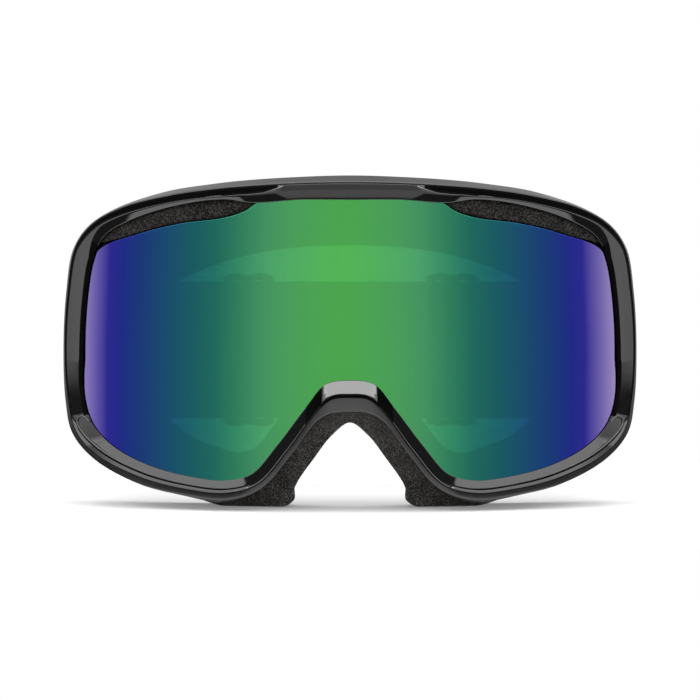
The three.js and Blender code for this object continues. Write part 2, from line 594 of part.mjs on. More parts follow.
let foamStart = FOAM_GAP;
for (const [name, thick, inset] of FOAM_LAYERS) {
  add(name, faceFoam(foamStart, thick, inset), name === 'face_fleece' ? FINISH.fleece : FINISH.foam);
  foamStart += thick + FOAM_GAP;
}
add('strap_band', strapBand(), FINISH.webbing);
[-1, 0, 1].forEach((row, i) => add(`strap_grip_line_${i + 1}`, gripLine(row), FINISH.silicone));
for (const [side, hand] of [[-1, 'right'], [1, 'left']]) {
  add(`front_vent_foam_${hand}`, frontVentFoam(side), FINISH.ventFoam);
  add(`top_vent_foam_${hand}`, wallVentFoam(side, 0.6, 4.7, 4.1, 2), FINISH.ventFoam);
  add(`bottom_vent_foam_${hand}`, wallVentFoam(side, 12.8, 14.6, 4.7, 2), FINISH.ventFoam);
  add(`strap_end_${hand}`, strapEnd(side), FINISH.webbing);
  add(`strap_return_${hand}`, strapReturn(side), FINISH.webbing);
  add(`strap_tab_${hand}`, strapTab(side), FINISH.webbing);
  add(`strap_bartack_${hand}`, bartack(side), FINISH.thread);
  add(`strap_slider_${hand}`, slider(side), FINISH.slider);
}

// The origin is under the middle of the whole object, on the surface it stands on.
const middle = new THREE.Box3().setFromObject(goggles).getCenter(new THREE.Vector3());
goggles.position.y = -middle.y;

export default goggles;
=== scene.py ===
import math
import bmesh
import bpy
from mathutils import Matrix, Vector

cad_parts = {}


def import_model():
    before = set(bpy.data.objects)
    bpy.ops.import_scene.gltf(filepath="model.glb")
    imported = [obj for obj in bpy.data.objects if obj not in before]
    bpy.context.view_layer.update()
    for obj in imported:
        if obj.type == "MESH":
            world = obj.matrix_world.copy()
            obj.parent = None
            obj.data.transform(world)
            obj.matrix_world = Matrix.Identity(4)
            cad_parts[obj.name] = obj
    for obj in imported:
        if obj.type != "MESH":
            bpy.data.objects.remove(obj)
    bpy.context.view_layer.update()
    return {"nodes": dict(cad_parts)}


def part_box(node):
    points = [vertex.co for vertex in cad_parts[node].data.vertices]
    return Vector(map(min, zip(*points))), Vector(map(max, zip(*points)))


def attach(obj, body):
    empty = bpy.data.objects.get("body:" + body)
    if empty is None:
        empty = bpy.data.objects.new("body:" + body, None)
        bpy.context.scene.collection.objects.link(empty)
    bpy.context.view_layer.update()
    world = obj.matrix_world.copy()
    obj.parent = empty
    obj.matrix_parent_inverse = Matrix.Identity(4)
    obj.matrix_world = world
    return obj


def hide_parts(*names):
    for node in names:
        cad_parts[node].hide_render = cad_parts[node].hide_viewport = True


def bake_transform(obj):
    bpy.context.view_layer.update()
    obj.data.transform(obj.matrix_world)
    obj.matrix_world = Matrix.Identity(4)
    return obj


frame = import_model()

MM = 0.001
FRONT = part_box("outer_lens")[0].y          # the lens's front line, in the row frame


def at(x, y, z):
    """Millimetres, with y behind the lens's front line, as a point of the row frame."""
    return (x * MM, y * MM + FRONT, z * MM)


# ---- Camera ----
def camera():
    """Straight in front and a little above, with a long lens."""
    distance, tilt = 1.66, math.radians(1.5)
    data = bpy.data.cameras.new("camera")
    data.sensor_width = 36
    data.lens = 277
    data.clip_end = 50
    eye = bpy.data.objects.new("camera", data)
    bpy.context.scene.collection.objects.link(eye)
    target = Vector(at(0, 60, 46.65))       # the middle of the view, inside the goggles
    eye.location = target + Vector((0, -distance * math.cos(tilt), distance * math.sin(tilt)))
    eye.rotation_euler = (target - eye.location).to_track_quat("-Z", "Y").to_euler()
    bpy.context.scene.camera = eye


camera()

# ---- Dimensions, in millimetres ----
HANDS = ((-1, "right"), (1, "left"))        # side of the X axis, wearer's hand
LENS_R = 108                                # bow of the lens's front
LENS_THICK = 1.6
FLANGE_R = 115                              # bow of the face flange
FLANGE_DEPTH = 27
FLANGE_THICK = 2.0
NOSE_RELIEF = 5                             # how far the flange comes forward over the nose
NOSE_Z = 28.75
NOSE_SPREAD = 24
STRAP_Z = 43.75
STRAP_WIDTH = 45
STRAP_THICK = 1.4
STRAP_BACK_Y = 172.7
STRAP_BACK_HALF = 62                        # half of the straight run across the back
STRAP_CORNER_R = 22
LUG_X = 81
SLIDER_X = 33.4
SLIDER_WIDTH = 16.4
SLIDER_HEIGHT = 50.6
SLIDER_DIP = 0.9                            # depth of the waves in its ends
SLIDER_FACE = 2.2                           # thickness of its plate
BAR_R = 1.2
TAB_STEP = 0.15                             # from the layer that the sewn tab lies on

# The front is swept round the goggles, with one station for each outline point.
STATIONS = 40
ROWS_PER_STATION = 18
ROWS = STATIONS * ROWS_PER_STATION
# Half outlines seen from the front, as (x, z) from top centre round to bottom centre.
WINDOW = [
    [0, 92.8], [15.4, 92.8], [28.5, 91.9], [37.5, 92.9], [50.5, 91.4], [65.5, 87],
    [74.6, 81.6], [77.9, 74.5], [79.8, 64.2], [81, 46.5], [80.7, 32.3], [77.9, 24.6],
    [71.5, 18.4], [60.6, 13.1], [46.6, 9.8], [36.8, 9.1], [29.3, 11.3], [21.7, 19.9],
    [13.1, 31.2], [7.2, 38], [0, 39.2],
]
RIM_EDGE = [
    [0, 97.7], [16.4, 97.4], [29, 96.7], [38.7, 95.9], [53, 94], [68.6, 90.2], [78, 85.2],
    [83.4, 78.3], [85.9, 64.8], [86.9, 47.5], [85.8, 32], [83.3, 22.2], [76.5, 15.4],
    [62.5, 9.2], [48.5, 6.2], [37, 5.4], [27.6, 8.2], [19, 17.9], [10.5, 29.3], [5.6, 33.6],
    [0, 34.2],
]
BAND_EDGE = [
    [0, 98.4], [16.5, 98.1], [29.2, 97.4], [38.9, 96.6], [53.3, 94.6], [69, 90.7],
    [78.5, 85.6], [83.9, 78.5], [86.5, 64.8], [87.4, 47.5], [86.7, 31.8], [84.4, 21.8],
    [77.3, 14.3], [63.3, 7.5], [48.8, 4.6], [37, 3.7], [26.6, 7], [17.7, 16.9], [9.6, 27.5],
    [5.3, 29.8], [0, 30.2],
]
FLANGE_EDGE = [
    [0, 100.2], [16.5, 99.7], [32, 98.7], [41, 97.7], [55.5, 95.4], [72, 89.9],
    [80.7, 84.2], [85.5, 76.6], [87.4, 64.5], [88.4, 46.5], [87.9, 31.5], [86, 22],
    [79, 13.8], [64.5, 6.4], [50.4, 2.9], [37.4, 1.3], [26.6, 5.8], [17.4, 16.5],
    [9.3, 26.2], [5.2, 28.1], [0, 28.4],
]
FLANGE_INNER = [
    [0, 83.8], [15.7, 83.4], [28.5, 82], [35.4, 80.8], [46.3, 77.9], [57.4, 73.4],
    [64, 67.9], [67, 61.9], [68.6, 54.9], [69.1, 45.9], [68.1, 36], [64, 29.2], [58.9, 23],
    [50.9, 18.2], [42.4, 15.6], [35.4, 14.2], [28.1, 15.7], [23.1, 20.4], [15.6, 31.8],
    [9, 37.3], [0, 39.3],
]
FOAM_OUTER = [
    [0, 95.5], [16.7, 95.2], [31.5, 94.1], [40.5, 92.9], [54.3, 89.6], [66.9, 83.9],
    [73.5, 78.2], [75.8, 71.2], [76.6, 61.5], [76.6, 45.5], [76.2, 30.5], [74.4, 22.1],
    [69.6, 14.3], [59.6, 8.2], [39, 0], [20.4, 0], [16.9, 2.2], [16.7, 5.8], [10.8, 14.9],
    [5.4, 21.9], [0, 25.7],
]
FOAM_INNER = [
    [0, 79.1], [14.8, 78.6], [26.6, 77], [33.6, 75.4], [43.1, 72.3], [52.6, 67.8],
    [58.7, 62.7], [61.7, 57.7], [63.3, 51.7], [63.6, 44.7], [62.2, 36.3], [58.2, 29.4],
    [54.1, 24.5], [47.6, 19.8], [40.6, 17.4], [35.1, 15.7], [29.6, 17], [25.2, 21.4],
    [17.1, 32.7], [9.8, 38.7], [0, 41],
]
LENS = [
    [0, 94.5], [14.5, 94.4], [25.5, 93.3], [31.5, 89.4], [38.1, 87.4], [50.5, 85.8],
    [64.3, 82.4], [76.5, 77.3], [81.4, 64.4], [82.7, 46.4], [82.3, 31.8], [79.3, 23.5],
    [72.4, 16.8], [61.2, 11.4], [46.9, 8], [36.7, 7.4], [28.4, 9.8], [20.4, 18.9],
    [11.9, 30.3], [6.6, 36.7], [0, 37.8],
]
# The rim's section at stations counted from top centre: station, how far the rim reaches over the
# lens, where its flat land begins and ends as shares of its width, how far it stands in front of
# the lens at its inner edge and at those two places, and the depth of the step outside them.
SECTIONS = [
    (0, 2.9, 0.62, 0.93, 1.35, 1.3, 1, 0),
    (1.25, 2.9, 0.62, 0.93, 1.35, 1.3, 1, 0),
    (1.75, 2.7, 0.5, 0.62, 0.9, 1.3, 1.25, 1.1),
    (2.5, 1.3, 0.38, 0.5, 0.6, 1.2, 1.2, 1.4),
    (3.1, 1.3, 0.2, 0.3, 0.8, 1.2, 1.2, 1.5),
    (4.8, 1.3, 0.45, 0.53, 0.5, 1.3, 1.3, 1.5),
    (5.8, 1.3, 0.6, 0.71, 0.5, 1.3, 1.2, 1.3),
    (7, 1.8, 0.24, 0.88, 0.35, 0.95, 0.75, 0.6),
    (9.15, 2.9, 0.22, 0.91, 0.35, 1.35, 0.95, 0.4),
    (10.5, 2.9, 0.24, 0.91, 0.35, 0.42, 0.02, 0.4),
    (10.7, 2.7, 0.64, 0.74, 0.4, 0.45, 0.45, 0.3),
    (11.6, 2.7, 0.54, 0.62, 0.35, 1.05, 1.1, 0.5),
    (12.5, 2.6, 0.5, 0.59, 0.35, 1.05, 1.1, 0.5),
    (15.65, 2.4, 0.54, 0.62, 0.35, 1.05, 1.1, 0.5),
    (15.8, 2.2, 0.5, 0.93, 1.8, 1.25, 0.8, 0.2),
    (18.82, 2.4, 0.5, 0.93, 1.8, 1.25, 0.7, 0.2),
    (18.9, 2.6, 0.5, 0.82, 0.33, 1.2, 1.75, 1.6),
    (20, 2.9, 0.5, 0.82, 0.33, 1.2, 1.75, 1.6),
]


# ---- Curves ----
def bow(x, radius):
    """How far a cylinder of this radius has curved back at x."""
    return radius - math.sqrt(radius * radius - x * x)


def flange_y(x, z):
    """The face side of the flange."""
    nose = math.exp(-((x / NOSE_SPREAD) ** 2) - ((z - NOSE_Z) / NOSE_SPREAD) ** 2)
    return FLANGE_DEPTH + bow(x, FLANGE_R) - NOSE_RELIEF * nose


def curve_point(points, t):
    """A point of the closed centripetal curve through the points, at share t of its stations."""
    n = len(points)
    i, w = divmod(t * n, 1)
    p = [points[(int(i) + k) % n] for k in (-1, 0, 1, 2)]
    gap = [max(math.dist(p[k], p[k + 1]) ** 0.5, 1e-4) for k in range(3)]
    out = []
    for axis in (0, 1):
        a, b, c, d = (q[axis] for q in p)
        leave = ((b - a) / gap[0] - (c - a) / (gap[0] + gap[1]) + (c - b) / gap[1]) * gap[1]
        arrive = ((c - b) / gap[1] - (d - b) / (gap[1] + gap[2]) + (d - c) / gap[2]) * gap[1]
        square = 3 * (c - b) - 2 * leave - arrive
        cube = 2 * (b - c) + leave + arrive
        out.append(b + w * (leave + w * (square + w * cube)))
    return out


def whole(half):
    """The full outline from its half."""
    return half + [[-x, z] for x, z in reversed(half[1:-1])]


def loop(half, count, start=0, end=STATIONS):
    """Points along the outline between two stations or once round, never below the ground."""
    points = whole(half)
    span = end - start
    steps = count if span == STATIONS else count - 1
    out = [curve_point(points, (start + span * i / steps) / STATIONS % 1) for i in range(count)]
    return [(x, max(z, 0)) for x, z in out]


def station_of(row):
    """The station of a row of a full loop, the same on both sides of the nose."""
    return min(row, ROWS - row) / ROWS_PER_STATION


def mix(a, b, share):
    return tuple(p + (q - p) * share for p, q in zip(a, b))


def on_lens(p, w):
    """A point w behind the lens's front, or in front of it where w is below 0."""
    return (p[0], LENS_R - math.sqrt((LENS_R - w) ** 2 - p[0] ** 2), p[1])


def on_face(p, w):
    """A point w behind the flange."""
    return (p[0], flange_y(*p) + w, p[1])


def smoothstep(low, high, v):
    t = min(max((v - low) / (high - low), 0), 1)
    return t * t * (3 - 2 * t)


def smoothed(points, rounds):
    """An open path relaxed between its fixed ends."""
    for _ in range(rounds):
        inner = [(a + 2 * b + c) / 4 for a, b, c in zip(points, points[1:], points[2:])]
        points = [points[0], *inner, points[-1]]
    return points


def rounded(corners, steps=4):
    """A closed polygon of (point, radius) with each corner turned into a smooth bend."""
    most = 0.46                             # of a side, so that two bends never meet
    out = []
    n = len(corners)
    for i, (v, r) in enumerate(corners):
        if r == 0:
            out.append(v)
            continue
        a, b = corners[i - 1][0], corners[(i + 1) % n][0]
        v, a, b = Vector(v), Vector(a), Vector(b)
        s = v + (a - v) * min(r / (a - v).length, most)
        e = v + (b - v) * min(r / (b - v).length, most)
        for k in range(steps + 1):
            t = k / steps
            out.append(tuple(s * (1 - t) ** 2 + v * 2 * t * (1 - t) + e * t * t))
    return out


# ---- Meshes ----
def mesh_object(name, vertices, faces):
    mesh = bpy.data.meshes.new(name)
    mesh.from_pydata([at(*v) for v in vertices], [], faces)
    mesh.validate()
    piece = bpy.data.objects.new(name, mesh)
    bpy.context.scene.collection.objects.link(piece)
    bm = bmesh.new()
    bm.from_mesh(mesh)
    bmesh.ops.recalc_face_normals(bm, faces=bm.faces)
    bm.to_mesh(mesh)
    bm.free()
    for face in mesh.polygons:
        face.use_smooth = True
    return piece


def loft(name, rows, closed=True):
    """Closed rings of points joined into a surface: round in a loop, or capped at both ends."""
    m = len(rows[0])
    n = len(rows)
    faces = []
    for i in range(n if closed else n - 1):
        k = (i + 1) % n
        for j in range(m):
            l = (j + 1) % m
            faces.append((i * m + j, i * m + l, k * m + l, k * m + j))
    if not closed:
        faces.append(tuple(range(m)))
        faces.append(tuple(range((n - 1) * m, n * m)))
    return mesh_object(name, [v for row in rows for v in row], faces)


def finish_piece(piece, material, body=None, stands_for=()):
    """Its material, and what it is in the part: slot, body and the plain pieces it stands for."""
    piece.data.materials.clear()
    piece.data.materials.append(material)
    if body:
        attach(piece, body)
    if stands_for:
        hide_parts(*stands_for)


# ---- Materials ----
class Nodes:
    """A short way to write a node material."""

    def __init__(self, name):
        self.material = bpy.data.materials.new(name)
        self.material.use_nodes = True
        self.tree = self.material.node_tree
        self.shader = self.tree.nodes["Principled BSDF"]
        self.output = self.tree.nodes["Material Output"]

    def add(self, kind, inputs=None, **settings):
        node = self.tree.nodes.new("ShaderNode" + kind)
        for key, value in settings.items():
            setattr(node, key, value)
        for key, value in (inputs or {}).items():
            self.put(node.inputs[key], value)
        return node

    def put(self, socket, value):
        if isinstance(value, bpy.types.NodeSocket):
            self.tree.links.new(value, socket)
        else:
            socket.default_value = value

    def set(self, **values):
        for key, value in values.items():
            self.put(self.shader.inputs[key.replace("_", " ")], value)

    def place(self):
        return self.add("TexCoord").outputs["Object"]

    def stretched(self, scale):
        return self.add("Mapping", {"Vector": self.place(), "Scale": scale}).outputs["Vector"]

    def noise(self, scale, detail=3.0, rough=0.55, vector=None):
        node = self.add("TexNoise", {"Scale": scale, "Detail": detail, "Roughness": rough})
        self.put(node.inputs["Vector"], vector or self.place())
        return node.outputs["Fac"]

    def cells(self, scale):
        return self.add("TexVoronoi", {"Scale": scale, "Vector": self.place()}).outputs["Distance"]

    def ramp(self, fac, *stops):
        node = self.add("ValToRGB", {"Fac": fac})
        elements = node.color_ramp.elements
        while len(elements) < len(stops):
            elements.new(0.5)
        for element, (position, colour) in zip(elements, stops):
            element.position = position
            element.color = colour if len(colour) == 4 else (*colour, 1)
        return node.outputs["Color"]

    def grey(self, fac, low, high, start=0.0, end=1.0):
        node = self.add("MapRange", {"Value": fac, "From Min": start, "From Max": end,
                                     "To Min": low, "To Max": high})
        return node.outputs["Result"]

    def maths(self, kind, *values):
        node = self.add("Math", operation=kind)
        for socket, value in zip(node.inputs, values):
            self.put(socket, value)
        return node.outputs["Value"]

    def bump(self, height, strength, distance):
        inputs = {"Height": height, "Strength": strength, "Distance": distance * MM}
        return self.add("Bump", inputs).outputs["Normal"]


def gloss_black():
    n = Nodes("gloss_black")
    smear = n.noise(60, 4)
    n.set(Base_Color=(0.006, 0.006, 0.0065, 1), IOR=1.7)
    n.set(Roughness=n.grey(smear, 0.04, 0.09, 0.3, 0.75))
    n.set(Normal=n.bump(n.noise(900, 2), 0.03, 0.02))
    return n.material


# Matt near-black painted as shade in the rim's recesses and on its temple slope, and as a dark
# reflection on the nose's flanks; the noise only varies that painted shade.
def groove():
    n = Nodes("painted_shade_matt_black")
    shade_mottle = n.noise(150, 5)
    n.set(Base_Color=n.ramp(shade_mottle, (0.35, (0.0008, 0.0008, 0.0008)), (0.75, (0.002, 0.002, 0.002))))
    n.set(Roughness=0.8, Specular_IOR_Level=0.04, Normal=n.bump(n.noise(2400, 2), 0.3, 0.03))
    return n.material


def satin_black():
    n = Nodes("satin_black")
    grain = n.noise(2600, 2)
    wear = n.noise(40, 5)
    n.set(Base_Color=n.ramp(wear, (0.3, (0.016, 0.0155, 0.015)), (0.7, (0.023, 0.022, 0.0215))))
    n.set(Roughness=n.grey(wear, 0.26, 0.36, 0.3, 0.7), IOR=1.5)
    n.set(Normal=n.bump(grain, 0.25, 0.05))
    return n.material


def mirror_lens():
    """A mirror that turns from green to violet away from its middle, over a see-through tint: the
    change by position is a painted reflection colour, in place of the coating's change with viewing
    angle.
    """
    off_centre, side_change = 0.0025, 0.035
    rise_from, rise_change = 0.05, 0.035
    half_width, clear = 0.0835, 0.3
    n = Nodes("mirror_lens")
    parts = n.add("SeparateXYZ", {"Vector": n.place()})
    x, z = parts.outputs["X"], parts.outputs["Z"]
    away = n.maths("ABSOLUTE", n.maths("ADD", x, off_centre))
    high = n.maths("MAXIMUM", n.maths("SUBTRACT", z, rise_from), 0)
    away = n.maths("ADD", away, n.maths("MULTIPLY", high, rise_change))
    left = n.maths("GREATER_THAN", x, 0)
    less = n.maths("SUBTRACT", 1, n.maths("MULTIPLY", left, side_change))
    share = n.grey(n.maths("MULTIPLY", away, less), 0, 1, 0, half_width)
    colours = [
        (0.00, (0.130, 0.660, 0.135)),
        (0.08, (0.128, 0.650, 0.150)),
        (0.20, (0.120, 0.590, 0.190)),
        (0.28, (0.105, 0.510, 0.210)),
        (0.37, (0.055, 0.375, 0.195)),
        (0.455, (0.028, 0.250, 0.190)),
        (0.54, (0.020, 0.185, 0.215)),
        (0.63, (0.019, 0.130, 0.270)),
        (0.715, (0.020, 0.080, 0.315)),
        (0.80, (0.025, 0.042, 0.410)),
        (0.85, (0.045, 0.040, 0.480)),
        # The two palest stops are a painted reflection of light boxes at the lens's far sides.
        (0.89, (0.200, 0.155, 0.650)),
        (0.96, (0.500, 0.380, 0.800)),
    ]
    tint = n.ramp(share, *colours)
    n.set(Base_Color=tint, Metallic=1.0, Roughness=0.07)
    n.set(Normal=n.bump(n.noise(18, 1), 0.02, 0.05))
    through = n.add("BsdfTransparent", {"Color": tint})
    both = n.add("MixShader", {0: clear, 1: n.shader.outputs[0], 2: through.outputs[0]})
    n.put(n.output.inputs["Surface"], both.outputs[0])
    return n.material


def lens_back():
    """The wearer's side of the lens: a dark rose tint with a weak reflection."""
    n = Nodes("lens_back")
    haze = n.noise(25, 3)
    n.set(Base_Color=n.ramp(haze, (0.3, (0.050, 0.030, 0.034)), (0.7, (0.058, 0.036, 0.040))))
    n.set(Roughness=n.grey(haze, 0.03, 0.07), IOR=1.5, Alpha=0.5)
    return n.material


def clear_lens():
    n = Nodes("clear_lens")
    haze = n.noise(30, 3)
    n.set(Base_Color=(0.02, 0.025, 0.025, 1), IOR=1.5, Alpha=0.1)
    n.set(Roughness=n.grey(haze, 0.02, 0.08))
    return n.material


def porous(name, dark, light, scale, depth, painted_light_and_shade=0):
    """Open-cell foam: dark pores between lighter threads; painted shade darkens it towards its feet
    and painted light lightens it higher up.
    """
    foot, clear = 0.002, 0.028              # heights in metres over which the painted shade turns to painted light
    n = Nodes(name)
    pores = n.cells(scale)
    flecks = n.noise(scale * 1.1, 3, 0.7)
    patches = n.noise(scale * 0.12, 2)
    both = n.maths("ADD", n.maths("MULTIPLY", pores, 0.45), n.maths("MULTIPLY", flecks, 0.75))
    both = n.maths("ADD", both, n.maths("MULTIPLY", n.maths("SUBTRACT", patches, 0.5), 0.25))
    lit = both
    # Painted shade low down on the foam, turning to painted light higher up.
    if painted_light_and_shade:
        height = n.add("SeparateXYZ", {"Vector": n.place()}).outputs["Z"]
        lit = n.maths("ADD", both, n.grey(height, -0.8 * painted_light_and_shade, painted_light_and_shade, foot, clear))
    n.set(Base_Color=n.ramp(lit, (0.5, dark), (0.78, light)))
    n.set(Roughness=0.95, Specular_IOR_Level=0.2, Normal=n.bump(both, 0.9, depth))
    return n.material


def fleece():
    n = Nodes("fleece")
    fibres = n.noise(900, 4, 0.7, n.stretched((1, 2.2, 0.55)))
    clumps = n.noise(210, 3, 0.6)
    nap = n.maths("ADD", n.maths("MULTIPLY", fibres, 0.7), n.maths("MULTIPLY", clumps, 0.3))
    colour = n.ramp(nap, (0.34, (0.012, 0.011, 0.010)), (0.5, (0.035, 0.032, 0.030)),
                    (0.66, (0.13, 0.12, 0.112)))
    n.set(Base_Color=colour, Roughness=1.0, Specular_IOR_Level=0.15)
    n.set(Sheen_Weight=0.5, Sheen_Roughness=0.6, Sheen_Tint=(0.6, 0.58, 0.55, 1))
    n.set(Normal=n.bump(n.maths("ADD", fibres, clumps), 0.8, 0.5))
    return n.material


def webbing():
    """Ribs across the band, with each weft thread half a step on from the rib beside it."""
    rib_pitch, weft_pitch = 0.0011, 0.0009
    n = Nodes("webbing")
    uv = n.add("UVMap", uv_map="weave").outputs["UV"]
    parts = n.add("SeparateXYZ", {"Vector": uv})
    along, across = parts.outputs["X"], parts.outputs["Y"]
    rib = n.maths("SINE", n.maths("MULTIPLY", across, 2 * math.pi / rib_pitch))
    turn = n.maths("MULTIPLY", n.maths("SIGN", rib), math.pi / 2)
    waves = n.maths("ADD", n.maths("MULTIPLY", along, 2 * math.pi / weft_pitch), turn)
    weft = n.maths("ADD", n.maths("MULTIPLY", n.maths("SINE", waves), 0.5), 0.6)
    weave = n.maths("MULTIPLY", n.maths("ABSOLUTE", rib), weft)
    lint = n.noise(700, 3)
    yarn = n.maths("ADD", n.maths("MULTIPLY", weave, 0.6), n.maths("MULTIPLY", lint, 0.5))
    n.set(Base_Color=n.ramp(yarn, (0.15, (0.003, 0.003, 0.0035)), (0.85, (0.045, 0.045, 0.049))))
    n.set(Roughness=0.8, Specular_IOR_Level=0.3, Sheen_Weight=0.15, Sheen_Roughness=0.5)
    n.set(Normal=n.bump(weave, 0.7, 0.25))
    return n.material


def plain(name, colour, low, high, grain_scale, grain_depth, rubber=False):
    """One colour, a little mottled, with roughness from low to high and a fine grain."""
    n = Nodes(name)
    mottle = n.noise(70, 4)
    lighter = tuple(c * 1.5 for c in colour)
    n.set(Base_Color=n.ramp(mottle, (0.3, colour), (0.7, lighter)))
    n.set(Roughness=n.grey(mottle, low, high, 0.3, 0.7), IOR=1.42 if rubber else 1.5)
    n.set(Normal=n.bump(n.noise(grain_scale, 2), 0.3, grain_depth))
    return n.material


MATERIALS = {
    "rim": gloss_black(),
    # Near-black painted shade for the rim's recesses, temple slope and nose flanks.
    "groove": groove(),
    # A grey lighter than the rim's black: a painted highlight along the bead's bright line, on top
    # of its real gloss.
    "bead": plain("bead_painted_highlight", (0.05, 0.05, 0.052), 0.2, 0.3, 1500, 0.02),
    "frame": satin_black(),
    "mirror": mirror_lens(),
    "lens_back": lens_back(),
    "clear": clear_lens(),
    "vent_foam": porous("vent_foam", (0.0018, 0.0017, 0.0016), (0.045, 0.042, 0.039), 1700, 0.6),
    # The firm foam's last number sets its painted shade at the feet and painted light higher up.
    "firm_foam": porous("firm_foam", (0.014, 0.0132, 0.0125), (0.17, 0.16, 0.15), 2600, 0.4, 0.065),
    "soft_foam": porous("soft_foam", (0.008, 0.008, 0.008), (0.080, 0.075, 0.070), 2600, 0.3),
    "fleece": fleece(),
    "webbing": webbing(),
    "silicone": plain("silicone", (0.045, 0.045, 0.048), 0.3, 0.42, 1200, 0.05, rubber=True),
    "slider": plain("slider_plastic", (0.010, 0.010, 0.011), 0.22, 0.36, 1800, 0.04),
    "thread": plain("thread", (0.03, 0.03, 0.032), 0.7, 0.85, 2500, 0.1),
    "seal": plain("seal", (0.008, 0.008, 0.008), 0.8, 0.9, 1500, 0.1, rubber=True),
}


# ---- Front of the goggles ----
def section_at(station):
    """The rim's section at a station, without the station itself."""
    k = next(k for k in range(1, len(SECTIONS)) if SECTIONS[k][0] >= station)
    a, b = SECTIONS[k - 1], SECTIONS[k]
    return mix(a, b, (station - a[0]) / (b[0] - a[0]))[1:]


def leaning_edge():
    """The rim's outer edge, paired with its window so that the nose facet's ends stand upright."""
    lean = 0.42                             # of a station, at the ends of the facet
    middle = STATIONS / 2
    points = whole(RIM_EDGE)
    out = []
    for row in range(ROWS):
        station = station_of(row)
        near, past = smoothstep(16.5, 18.6, station), smoothstep(18.95, middle, station)
        station -= lean * near * (1 - past)
        if row > ROWS / 2:
            station = STATIONS - station
        out.append(curve_point(points, station / STATIONS % 1))
    return out


def rim():
    """The rim, with matt near-black painted as shade in its recesses and on its temple slope, and in
    place of the dark reflection on the nose's flanks.
    """
    seat_gap, depth = 0.25, 3.0             # in front of the lens, and behind its front line
    lower_tier = 0.35                       # how much further out the step stands along the trough
    bend = 5                                # points in each rounded corner of a section
    land_start, land_end = 2 * bend + 2, 3 * bend + 2
    step_foot, outer_edge = 5 * bend - 1, 7 * bend - 1
    rows = []
    for row, (p, q) in enumerate(zip(loop(WINDOW, ROWS), leaning_edge())):
        station = station_of(row)
        seat, land, outer, lip, high, low, recess = section_at(station)
        bottom = recess - low
        rise = lower_tier * (smoothstep(10.5, 10.9, station) - smoothstep(15.6, 15.8, station))

        def across(share):
            return mix(p, q, share)

        seat_edge = across(seat / math.dist(p, q))
        rows.append(rounded([               # points of the section, each with the radius of its bend
            (on_lens(p, -seat_gap), 0.1),
            (on_lens(p, -lip), 0.25),
            (on_lens(across(land), -high), 0.3),
            (on_lens(across(outer), -low), 0.2),
            (on_lens(across(min(outer + 0.1, 0.96)), bottom), 0.2),
            (on_lens(across(0.98), bottom - rise), 0.15),
            (on_lens(q, bottom + 0.3 - rise), 0.15),
            (on_lens(q, depth), 0.2),
            (on_lens(seat_edge, depth), 0),
            (on_lens(seat_edge, -seat_gap), 0),
        ]))
    piece = loft("front_rim_shell", rows)
    finish_piece(piece, MATERIALS["rim"], "goggle", ["front_rim"])
    # The second material is the painted shade.
    piece.data.materials.append(MATERIALS["groove"])
    # Faces that take the painted shade: recesses, temple slope and nose flanks.
    for face in piece.data.polygons:
        row, j = divmod(face.index, len(rows[0]))
        station = station_of(row)
        recess = section_at(station)[-1]
        last = step_foot if 10 < station < 16 else outer_edge
        deep = recess > 0.35 and land_end <= j < last
        slope = 6.4 < station < 10.6 and j < land_start
        flank = 18 < station < 18.86 and j < step_foot
        face.material_index = int(deep or slope or flank)
    for side, hand in HANDS:
        bead(side, hand)


def bead(side, hand):
    """The fine raised line on the crest of the lower trough, curling in to the lens at its top."""
    window, edge = whole(WINDOW), whole(RIM_EDGE)
    # Station, share of the rim's width, height over the lens.
    route = [
        (15.62, 0.6, 1.1), (15, 0.59, 1.12), (14, 0.57, 1.12), (13.2, 0.56, 1.12),
        (12.5, 0.57, 1.12), (11.9, 0.6, 1.12), (11.4, 0.65, 1.0), (11, 0.72, 0.8),
        (10.74, 0.76, 0.6), (10.6, 0.7, 0.56), (10.54, 0.52, 0.58), (10.55, 0.32, 0.6),
        (10.66, 0.16, 0.6), (10.85, 0.1, 0.6),
    ]
    steps = 10
    points = []
    for start, end in zip(route, route[1:]):
        for k in range(steps):
            station, share, proud = mix(start, end, k / steps)
            t = station / STATIONS
            x, z = mix(curve_point(window, t), curve_point(edge, t), share)
            points.append(Vector(on_lens((side * x, z), -proud)))
    piece = tube(f"rim_bead_{hand}", smoothed(points, 12), 0.26)
    finish_piece(piece, MATERIALS["bead"], "goggle", ["front_rim"])


def lens():
    """The mirrored lens: upright strips between two cylinders with one axis, cut to the outline."""
    fine = 4000
    right = loop(LENS, fine)[:fine // 2 + 1]
    widest = max(x for x, z in right)
    turn = next(i for i, (x, z) in enumerate(right) if x == widest)

    def height(points, x):
        k = next((k for k in range(1, len(points)) if points[k][0] >= x), len(points) - 1)
        (x0, z0), (x1, z1) = points[k - 1], points[k]
        return z0 + (z1 - z0) * min(1, (x - x0) / max(x1 - x0, 1e-9))

    top, bottom = right[:turn + 1], right[turn:][::-1]
    strips, edge, margin = 480, 0.2, 0.5
    rows = []
    for i in range(strips + 1):
        x = widest * math.sin((i / strips - 0.5) * math.pi)
        high = height(top, abs(x))
        low = min(height(bottom, abs(x)), high - 1.6)
        up = [(low, edge), (low + margin, 0), (high - margin, 0), (high, edge)]
        rows.append(rounded([(on_lens((x, z), 0), r) for z, r in up]
                            + [(on_lens((x, z), LENS_THICK), r) for z, r in reversed(up)]))
    piece = loft("mirror_lens_sheet", rows, closed=False)
    finish_piece(piece, MATERIALS["mirror"], "goggle", ["outer_lens"])
    piece.data.materials.append(MATERIALS["lens_back"])
    around = len(rows[0])
    front = range(2, 9)                     # faces of a strip up to the middle of its front bends
    for face in piece.data.polygons:
        cap = face.index >= strips * around
        face.material_index = int(cap or face.index % around not in front)


